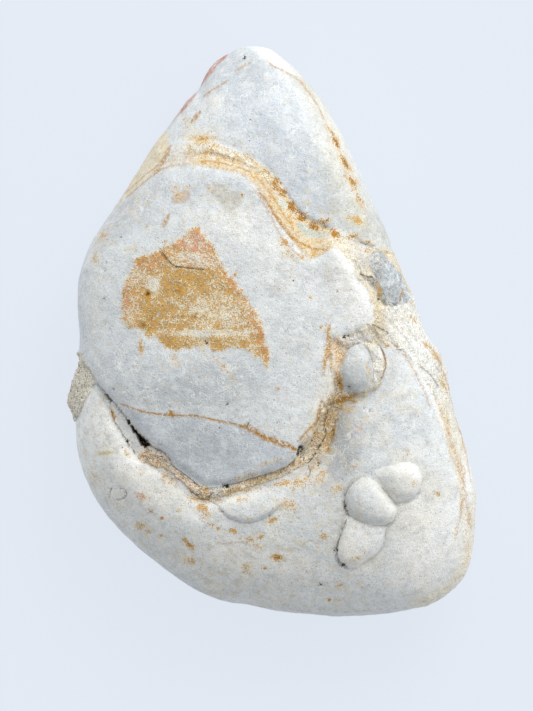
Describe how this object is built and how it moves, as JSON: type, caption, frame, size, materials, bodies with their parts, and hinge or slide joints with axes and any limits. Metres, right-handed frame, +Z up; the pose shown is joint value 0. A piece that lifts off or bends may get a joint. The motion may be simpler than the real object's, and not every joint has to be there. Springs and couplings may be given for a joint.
{
  "type": "menilite",
  "caption": "Flattened lump of pale chalky opaline stone: a round dome held in a broken outer shell, with a narrow upper lobe, a curved lower lobe and small pads; it lies on its back.",
  "frame": {"origin": "middle of the outline seen from above, on the surface the lump rests on", "axes": "+Z up through the dome, +Y towards the narrow end, +X towards the bulging side of the lower lobe"},
  "size_m": [0.0762, 0.106, 0.0364],
  "materials": {
    "menilite_stone": "matte"
  },
  "bodies": {
    "root": {"menilite": "menilite_stone"}
  },
  "joints": []
}
